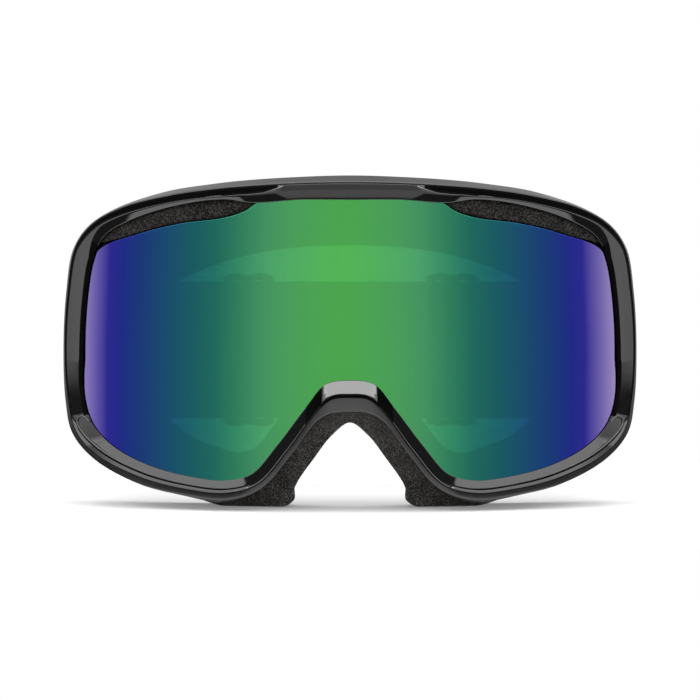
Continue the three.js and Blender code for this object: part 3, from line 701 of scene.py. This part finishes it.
def frame_shell():
    """The flexible body: lens groove, outer wall and face flange, with vent slots and lugs."""
    rings = (loop(half, ROWS) for half in (WINDOW, RIM_EDGE, BAND_EDGE, FLANGE_EDGE, FLANGE_INNER))
    groove_foot, groove_back, groove_inner = 1.6, 2.1, 3.3
    rows = []
    for row, (p, q, e, o, f) in enumerate(zip(*rings)):
        station = station_of(row)
        rise = 1 - smoothstep(6, 8, station)
        width = math.dist(p, q)
        band_width = math.dist(q, e)
        slope = 0.45 - 0.25 * (smoothstep(9, 10.5, station) - smoothstep(15.2, 16.2, station))
        band_back = 0.6 + slope * band_width
        foot = mix(o, f, 2.4 / math.dist(o, f))
        seat = section_at(station)[0]

        def across(u):
            return mix(p, q, u / width)

        rows.append(rounded([
            (on_lens(mix(q, e, 0.25 / band_width), 0.6), 0.12),
            (on_lens(e, band_back), 0.4),
            (on_lens(mix(e, o, 0.25 + 0.7 * rise), band_back + 0.4 + 5.5 * rise), 0.8),
            (on_face(o, -FLANGE_THICK), 1.2),
            (on_face(o, 0), 0.7),
            (on_face(mix(o, f, 1 / 3), 0), 0),
            (on_face(mix(o, f, 2 / 3), 0), 0),
            (on_face(f, 0), 0.5),
            (on_face(f, -FLANGE_THICK), 0.5),
            (on_face(foot, -FLANGE_THICK - 0.4), 0.8),
            (on_lens(across(width - 1.6), 6.4), 0.8),
            (on_lens(across(-groove_foot), 5.4), 0.5),
            (on_lens(across(-groove_foot), groove_back), 0.3),
            (on_lens(across(seat), groove_back), 0),
            (on_lens(across(seat), groove_inner), 0),
            (on_lens(across(width + 0.4), groove_inner), 0.2),
        ]))
    shell = loft("frame_shell", rows)
    # Vent slots: x, depth behind the lens, length, and the heights between which they cut.
    slots = [(x, 14, 14, 88, 110) for x in (16, 33, 49)]
    slots += [(x, 14.5, 12, -5, 16) for x in (44, 58)]
    for side, _ in HANDS:
        for x, y, length, low, high in slots:
            turn = side * math.asin(x / LENS_R)
            cut_slot(shell, side * x, y + bow(x, LENS_R), length, 6, turn, low, high)
    finish_piece(shell, MATERIALS["frame"], "goggle", ["frame_body"])
    for side, hand in HANDS:
        lug(side, hand)


def cut_slot(shell, x, y, length, width, turn, low, high):
    """A round-ended vent slot through a wall, turned to follow the bow of the lens."""
    r = width / 2
    outline = arc(length / 2 - r, 0, r, -90, 90, 8) + arc(r - length / 2, 0, r, 90, 270, 8)
    c, s = math.cos(turn), math.sin(turn)
    spun = [(x + u * c - v * s, y + u * s + v * c) for u, v in outline]
    tool = loft("slot_tool", [[(u, v, z) for u, v in spun] for z in (low, high)], closed=False)
    cut = shell.modifiers.new("slot", "BOOLEAN")
    cut.operation = "DIFFERENCE"
    cut.solver = "EXACT"
    cut.object = tool
    bpy.context.view_layer.objects.active = shell
    bpy.ops.object.modifier_apply(modifier="slot")
    bpy.data.objects.remove(tool)


def plate(name, outline, hole, spot, thick, bevel):
    """A flat plate with one window. spot turns (a, b, depth) into a point in millimetres."""
    bm = bmesh.new()
    for ring in (outline, hole):
        corners = [bm.verts.new((a, b, 0)) for a, b in ring]
        for k in range(len(corners)):
            bm.edges.new((corners[k - 1], corners[k]))
    bmesh.ops.triangle_fill(bm, use_beauty=True, use_dissolve=False, edges=bm.edges[:])
    bmesh.ops.dissolve_limit(bm, angle_limit=0.01, verts=bm.verts[:], edges=bm.edges[:])
    made = bmesh.ops.extrude_face_region(bm, geom=bm.faces[:])
    for v in made["geom"]:
        if isinstance(v, bmesh.types.BMVert):
            v.co.z = thick
    for v in bm.verts:
        v.co = Vector(at(*spot(*v.co)))
    bmesh.ops.recalc_face_normals(bm, faces=bm.faces)
    mesh = bpy.data.meshes.new(name)
    bm.to_mesh(mesh)
    bm.free()
    for face in mesh.polygons:
        face.use_smooth = True
    piece = bpy.data.objects.new(name, mesh)
    bpy.context.scene.collection.objects.link(piece)
    soften = piece.modifiers.new("edges", "BEVEL")
    soften.width = bevel * MM
    soften.segments = 3
    soften.limit_method = "ANGLE"
    soften.angle_limit = math.radians(35)
    soften.harden_normals = True
    return piece


def arc(cx, cy, r, start, end, steps):
    turns = [math.radians(start + (end - start) * k / steps) for k in range(steps + 1)]
    return [(cx + r * math.cos(t), cy + r * math.sin(t)) for t in turns]


def rounded_rect(width, height, r):
    x, y = width / 2 - r, height / 2 - r
    corners = [(x, y), (-x, y), (-x, -y), (x, -y)]
    return [p for k, (cx, cy) in enumerate(corners) for p in arc(cx, cy, r, 90 * k, 90 * k + 90, 6)]


def lug(side, hand):
    """The lug behind the temple, with the slot and bar that the strap turns round."""
    half_slot = STRAP_WIDTH / 2 + 0.8
    half = half_slot + 2.4
    root, tip, r, thick = 59, 77, 3, 3
    outline = [(root, -half), *arc(tip - r, r - half, r, -90, 0, 8),
               *arc(tip - r, half - r, r, 0, 90, 8), (root, half)]
    hole = [(66.5, -half_slot), (66.5, half_slot), (72.5, half_slot), (72.5, -half_slot)]
    piece = plate(f"strap_lug_{hand}", outline, hole,
                  lambda a, b, d: (side * LUG_X - thick / 2 + d, a, STRAP_Z + b), thick, 0.6)
    finish_piece(piece, MATERIALS["frame"], "goggle", ["frame_body"])


def foam_strip(name, rows, cad):
    piece = loft(name, rows, closed=False)
    finish_piece(piece, MATERIALS["vent_foam"], "goggle", [cad])


def vent_foams():
    """Strips over the lens's upper edge and behind the slots in the frame's walls."""
    for side, hand in HANDS:
        first, last = 2.3, 6.3
        rows = []
        for p, q in zip(loop(WINDOW, 90, first, last), loop(LENS, 90, first, last)):
            high, low = mix(p, q, -0.12), (q[0], q[1] + 0.3)
            points = [(side * s[0], s[1]) for s in (high, low)]
            front = [on_lens(mix(points[0], points[1], k / 6), 0.5) for k in range(7)]
            back = [on_lens(mix(points[1], points[0], k / 6), 1.5) for k in range(7)]
            rows.append(front + back)
        foam_strip(f"vent_strip_{hand}", rows, f"front_vent_foam_{hand}")
        near, far, thick = 8, 20, 2
        for where, inward, first, last, gap in (
                ("top", -1, 0.6, 4.7, 4.1), ("bottom", 1, 12.8, 14.6, 4.7)):
            rows = []
            for p, q in zip(loop(RIM_EDGE, 60, first, last), loop(FLANGE_EDGE, 60, first, last)):
                x, z = mix(p, q, 0.5)
                rows.append(rounded([
                    ((side * x, bow(x, LENS_R) + y, z + inward * (gap + h)), 0.5)
                    for y, h in ((near, 0), (far, 0), (far, thick), (near, thick))
                ], 3))
            foam_strip(f"{where}_vent_strip_{hand}", rows, f"{where}_vent_foam_{hand}")


def face_foam():
    """Three layers on the flange: firm foam, soft foam that swells a little, and fleece."""
    gap = 0.4
    start = gap
    outer, inner = loop(FOAM_OUTER, ROWS), loop(FOAM_INNER, ROWS)
    for cad, name, thick, inset, edge, slot, bulge in (
            ("face_foam_base", "foam_ring_firm", 8.5, 0, 0.7, "firm_foam", 0.0),
            ("face_foam_soft", "foam_ring_soft", 6.5, 0.5, 1.2, "soft_foam", 0.3),
            ("face_fleece", "fleece_lining", 1.5, 0.2, 0.7, "fleece", 0.0)):
        rows = []
        for p, q in zip(outer, inner):
            length = math.dist(p, q)
            out = mix(p, q, inset / length) if p[1] > 0.01 else p
            hole = mix(q, p, inset / length)
            mid = mix(out, hole, 0.5)
            rows.append(rounded([
                (on_face(out, start), edge), (on_face(out, start + thick), edge),
                (on_face(mid, start + thick + bulge), 1.5), (on_face(hole, start + thick), edge),
                (on_face(hole, start), edge), (on_face(mid, start), 0),
            ]))
        piece = loft(name, rows)
        finish_piece(piece, MATERIALS[slot], "goggle", [cad])
        start += thick + gap


# ---- Strap ----
def ribbon(name, path, thick=STRAP_THICK, width=STRAP_WIDTH, fine=1.5):
    """Webbing on edge along a plan path, with rolled edges and a weave map in metres."""
    points = [Vector(p) for p in path]
    dense = [points[0]]
    for a, b in zip(points, points[1:]):
        steps = max(1, round((b - a).length / fine))
        dense += [a.lerp(b, k / steps) for k in range(1, steps + 1)]
    dense = smoothed(dense, 3)
    section = rounded([((s * thick / 2, h * width / 2, 0), thick * 0.42)
                       for s, h in ((1, -1), (1, 1), (-1, 1), (-1, -1))], 4)
    rows, run = [], [0]
    for i, p in enumerate(dense):
        a, b = dense[max(i - 1, 0)], dense[min(i + 1, len(dense) - 1)]
        t = (b - a).normalized()
        rows.append([(p.x - t.y * s, p.y + t.x * s, STRAP_Z + h) for s, h, _ in section])
        if i:
            run.append(run[-1] + (p - dense[i - 1]).length * MM)
    piece = loft(name, rows, closed=False)
    m = len(section)
    mesh = piece.data
    layer = mesh.uv_layers.new(name="weave")
    for corner in mesh.loops:
        i, j = divmod(corner.vertex_index, m)
        layer.data[corner.index].uv = (run[i], section[j][1] * MM)
    return piece


LAYER = STRAP_THICK + 0.4                   # from one layer of webbing to the next
WRAP_R = 1.5 + 0.9 + STRAP_THICK / 2        # round a lug's bar
OUTER_X, INNER_X = LUG_X + WRAP_R, LUG_X - WRAP_R
SIDE_X = STRAP_BACK_HALF + STRAP_CORNER_R
CORNER_Y = STRAP_BACK_Y - STRAP_CORNER_R
TURN_Y = 77                                 # where the webbing leaves the lug
SPLIT_Y = 90                                # where the strap's ends give way to its loop
FOLD_R = BAR_R + 0.2 + STRAP_THICK / 2      # round an adjuster's bar
BAR_Y = STRAP_BACK_Y - STRAP_THICK - 0.3 - FOLD_R
SEWN_Y = STRAP_BACK_Y - 2 * LAYER - TAB_STEP


def side_x(y):
    """The outer layer's line along the side of the head."""
    return OUTER_X + (SIDE_X - OUTER_X) * (y - TURN_Y) / (CORNER_Y - TURN_Y)


def return_x(y):
    """The inner layer's line, which closes on the outer one behind the lug."""
    return INNER_X + (side_x(y) - LAYER - INNER_X) * smoothstep(TURN_Y, 112, y)


def strap():
    """The band, its ends round the lugs, its inner layers and the ends sewn round the adjusters."""
    half = [(side_x(SPLIT_Y), SPLIT_Y)] + arc(STRAP_BACK_HALF, CORNER_Y, STRAP_CORNER_R, 0, 90, 12)
    band = ribbon("strap_webbing", half + [(-x, y) for x, y in reversed(half)])
    finish_piece(band, MATERIALS["webbing"], "strap", ["strap_band"])
    for side, hand in HANDS:
        def flip(path):
            return [(side * x, y) for x, y in path]

        end = ribbon(f"strap_turn_{hand}", flip(
            [(side_x(SPLIT_Y), SPLIT_Y), (OUTER_X, TURN_Y)] + arc(LUG_X, 74, WRAP_R, 0, -180, 12)
            + [(INNER_X, TURN_Y - 0.5), (return_x(SPLIT_Y), SPLIT_Y)]), fine=0.7)
        finish_piece(end, MATERIALS["webbing"], None, [f"strap_end_{hand}"])
        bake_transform(end)

        back = ribbon(f"strap_inner_layer_{hand}", flip(
            [(return_x(y), y) for y in (SPLIT_Y, 95, 100, 106, 112)]
            + arc(STRAP_BACK_HALF, CORNER_Y, STRAP_CORNER_R - LAYER, 0, 90, 12)
            + [(SLIDER_X + 3.2, STRAP_BACK_Y - LAYER)]))
        finish_piece(back, MATERIALS["webbing"], None, [f"strap_return_{hand}"])
        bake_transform(back)

        tab = ribbon(f"strap_sewn_end_{hand}", flip(
            [(SLIDER_X + 4, STRAP_BACK_Y - LAYER + 0.1)] + arc(SLIDER_X, BAR_Y, FOLD_R, 90, 270, 12)
            + [(SLIDER_X + 4, BAR_Y - FOLD_R + 0.3), (SLIDER_X + 9, SEWN_Y),
               (SLIDER_X + 15, SEWN_Y)]), width=STRAP_WIDTH - 0.6, fine=0.6)
        finish_piece(tab, MATERIALS["webbing"], f"adjuster_{hand}",
                     [f"strap_tab_{hand}"])


def tube(name, points, r):
    """A round bead or thread along a path that runs mostly across and up."""
    sides = 8
    rows = []
    for i, (x, y, z) in enumerate(points):
        a, b = points[max(i - 1, 0)], points[min(i + 1, len(points) - 1)]
        length = math.hypot(b[0] - a[0], b[2] - a[2])
        u, w = (b[0] - a[0]) / length, (b[2] - a[2]) / length
        ring = []
        for k in range(sides):
            turn = 2 * math.pi * k / sides
            out = r * math.sin(turn)
            ring.append((x - w * out, y + r * math.cos(turn), z + u * out))
        rows.append(ring)
    return loft(name, rows, closed=False)


def adjuster(side, hand):
    """A wavy-ended plate behind the band, cheeks over its edges, a bar inside and the sewn seam."""
    window = STRAP_WIDTH + 0.6
    rail = (SLIDER_HEIGHT - window) / 2 - SLIDER_DIP
    outline = []
    for end in (1, -1):
        for k in range(41):
            x = end * SLIDER_WIDTH * (0.5 - k / 40)
            dip = SLIDER_DIP * math.cos(2 * math.pi * x / SLIDER_WIDTH) ** 2
            outline.append((x, end * (SLIDER_HEIGHT / 2 - dip)))
    face_y = STRAP_BACK_Y + STRAP_THICK / 2 + 0.3
    hole = rounded_rect(SLIDER_WIDTH - 5.6, window, 0.6)
    pieces = [plate(f"adjuster_plate_{hand}", outline, hole,
                    lambda a, b, d: (side * SLIDER_X + a, face_y + d, STRAP_Z + b),
                    SLIDER_FACE, 0.5)]
    front, back, half_cheek = BAR_Y - BAR_R, face_y + 1.2, 3
    ring = rounded([((side * SLIDER_X + sign * half_cheek, y, 0), 1.1) for sign, y in
                    ((-1, front), (1, front), (1, back), (-1, back))], 5)
    for end, level in ((-1, "low"), (1, "high")):
        low = STRAP_Z + end * window / 2
        rows = [[(x, y, z) for x, y, _ in ring] for z in (low, low + end * rail)]
        pieces.append(loft(f"adjuster_cheek_{hand}_{level}", rows, closed=False))
    reach = (window + rail) / 2
    circle = arc(side * SLIDER_X, BAR_Y, BAR_R, 0, 360, 24)[:-1]
    rows = [[(x, y, STRAP_Z + z) for x, y in circle] for z in (-reach, reach)]
    pieces.append(loft(f"adjuster_bar_{hand}", rows, closed=False))
    for piece in pieces:
        finish_piece(piece, MATERIALS["slider"], f"adjuster_{hand}",
                     [f"strap_slider_{hand}"])
    seam_x, seam_y = side * (SLIDER_X + 12), SEWN_Y - STRAP_THICK / 2 - 0.25
    half_seam, sway, steps, per_stitch = 18.3, 0.85, 300, 12
    seam = [(seam_x + sway * math.sin(2 * math.pi * k / per_stitch), seam_y,
             STRAP_Z - half_seam + 2 * half_seam * k / steps) for k in range(steps + 1)]
    stitches = tube(f"sewn_seam_{hand}", seam, 0.2)
    finish_piece(stitches, MATERIALS["thread"], f"adjuster_{hand}",
                 [f"strap_bartack_{hand}"])


def kept_nodes():
    """Plain pieces that keep their own shape and take a better material."""
    looks = {"inner_lens": "clear", "lens_seal": "seal"}
    for i in (1, 2, 3):
        looks[f"strap_grip_line_{i}"] = "silicone"
    for name, look in looks.items():
        node = frame["nodes"][name]
        node.data.materials.clear()
        node.data.materials.append(MATERIALS[look])


rim()
lens()
frame_shell()
vent_foams()
face_foam()
strap()
for side, hand in HANDS:
    adjuster(side, hand)
kept_nodes()


# ---- Studio ----
def world():
    """White behind the goggles; a bright table, a dark band, a soft room and cards round them."""
    made = bpy.data.worlds.new("studio")
    bpy.context.scene.world = made
    made.use_nodes = True
    tree = made.node_tree
    back = tree.nodes["Background"]

    def node(kind, inputs, **settings):
        new = tree.nodes.new("ShaderNode" + kind)
        for key, value in settings.items():
            setattr(new, key, value)
        for key, value in inputs.items():
            if isinstance(value, bpy.types.NodeSocket):
                tree.links.new(value, new.inputs[key])
            else:
                new.inputs[key].default_value = value
        return new.outputs[0]

    def stepped(value, stops):
        """Grey levels along a value that runs from -1 to 1."""
        share = node("MapRange", {"Value": value, "From Min": -1.0, "From Max": 1.0})
        ramp = tree.nodes.new("ShaderNodeValToRGB")
        tree.links.new(share, ramp.inputs[0])
        elements = ramp.color_ramp.elements
        while len(elements) < len(stops):
            elements.new(0.5)
        for element, (position, level) in zip(elements, stops):
            element.position = (position + 1) / 2
            element.color = (level, level, level, 1)
        return ramp.outputs["Color"]

    place = tree.nodes.new("ShaderNodeTexCoord").outputs["Generated"]
    split = tree.nodes.new("ShaderNodeSeparateXYZ")
    tree.links.new(place, split.inputs[0])
    depth, height = split.outputs["Y"], split.outputs["Z"]
    aside = node("Math", {0: split.outputs["X"]}, operation="ABSOLUTE")

    def product(*values):
        out = values[0]
        for value in values[1:]:
            out = node("Math", {0: out, 1: value}, operation="MULTIPLY")
        return out

    room = stepped(depth, ((-1, 0.8), (0.02, 0.8), (0.2, 0.95), (0.5, 0.5), (1, 0.5)))
    upper = stepped(height, ((-0.62, 1), (-0.58, 0.015), (-0.09, 0.015), (-0.07, 0.5), (0.12, 0.5),
                             (0.35, 0.3), (0.8, 0.6)))
    level = product(room, upper, 2.0)
    cards = (                               # sides, heights, depths and power of each
        (((0.4, 0), (0.52, 1)), ((0.2, 0), (0.28, 1), (0.75, 1), (0.85, 0)),
         ((0.2, 1), (0.4, 0)), 1.6),
        (((0.03, 0), (0.12, 1)), ((0.02, 0), (0.1, 1), (0.5, 1), (0.6, 0)),
         ((0.6, 0), (0.8, 1)), 0.35),
        (((0.47, 1), (0.5, 0)), ((0.43, 0), (0.455, 1), (0.66, 1), (0.7, 0)),
         ((-0.2, 1), (0, 0)), 5.2),
    )
    for sides, heights, depths, power in cards:
        card = product(stepped(aside, sides), stepped(height, heights),
                       stepped(depth, depths), power)
        level = node("Math", {0: level, 1: card}, operation="ADD")
    camera_ray = tree.nodes.new("ShaderNodeLightPath").outputs["Is Camera Ray"]
    seen = node("Math", {0: camera_ray, 1: level}, operation="MAXIMUM")
    tree.links.new(seen, back.inputs["Strength"])
    back.inputs["Color"].default_value = (1, 1, 1, 1)


def floor():
    """A pale floor that takes the contact shadow and fades out into the white round it."""
    solid, faded = 0.03, 0.28               # metres from the middle
    bm = bmesh.new()
    bmesh.ops.create_grid(bm, x_segments=1, y_segments=1, size=4)
    mesh = bpy.data.meshes.new("floor")
    bm.to_mesh(mesh)
    bm.free()
    piece = bpy.data.objects.new("floor", mesh)
    piece.location = (0, 0, -0.0002)
    bpy.context.scene.collection.objects.link(piece)
    n = Nodes("floor")
    n.set(Base_Color=(0.9, 0.9, 0.9, 1), Roughness=0.6, Specular_IOR_Level=0.2)
    radius = n.add("VectorMath", {0: n.place()}, operation="LENGTH").outputs["Value"]
    n.set(Alpha=n.grey(radius, 0.95, 0, solid, faded))
    piece.data.materials.append(n.material)
    piece.visible_glossy = False


def overhead():
    """One large soft light above and a little behind."""
    data = bpy.data.lights.new("overhead", "AREA")
    data.shape = "RECTANGLE"
    data.size, data.size_y = 1.6, 1.2
    data.energy = 14
    light = bpy.data.objects.new("overhead", data)
    bpy.context.scene.collection.objects.link(light)
    light.location = (0, 0.1, 1.4)
    light.rotation_euler = (-light.location).to_track_quat("-Z", "Y").to_euler()


world()
floor()
overhead()
bpy.context.scene.view_settings.view_transform = "Standard"
